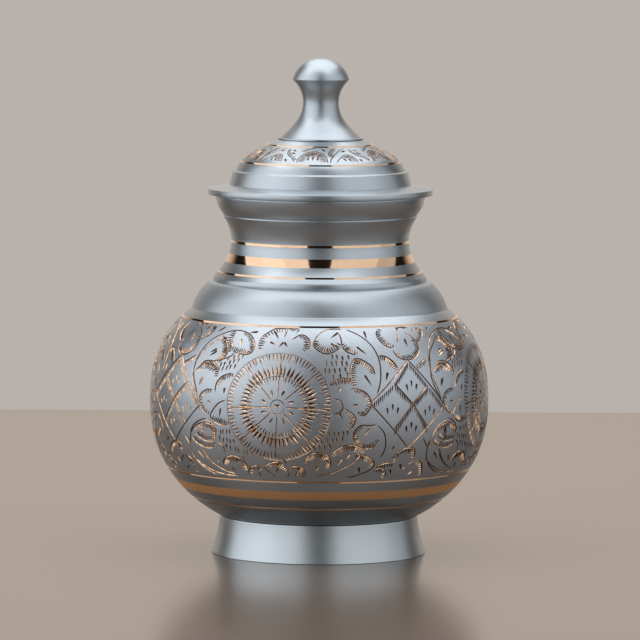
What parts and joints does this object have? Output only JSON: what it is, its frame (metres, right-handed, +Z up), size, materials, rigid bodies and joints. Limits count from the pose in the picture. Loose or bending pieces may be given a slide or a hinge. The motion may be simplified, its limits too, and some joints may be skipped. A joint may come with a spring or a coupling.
{
  "type": "cremation urn",
  "caption": "Lidded cremation urn: round hollow belly with engraved floral medallions, waisted neck, flared foot ring, and a domed lid with a turned knob that lifts off.",
  "frame": {"origin": "centre of the foot ring's underside, on the surface the urn stands on", "axes": "+Z up along the urn's turning axis, -Y out of the front medallion, +X to the right of someone facing that medallion"},
  "size_m": [0.19, 0.19, 0.2773],
  "materials": {
    "engraved_pewter": "brass with a satin pewter finish, engraved through to the copper colour below",
    "satin_pewter": "brass with a satin pewter finish, fine turning lines",
    "lid_pewter": "brass with a satin pewter finish, fine turning lines and an engraved band",
    "polished_pewter": "brass with a smooth pewter finish"
  },
  "bodies": {
    "root": {"urn_vessel": "engraved_pewter", "foot_ring": "satin_pewter", "lid": "lid_pewter", "lid_knob": "polished_pewter"}
  },
  "joints": []
}
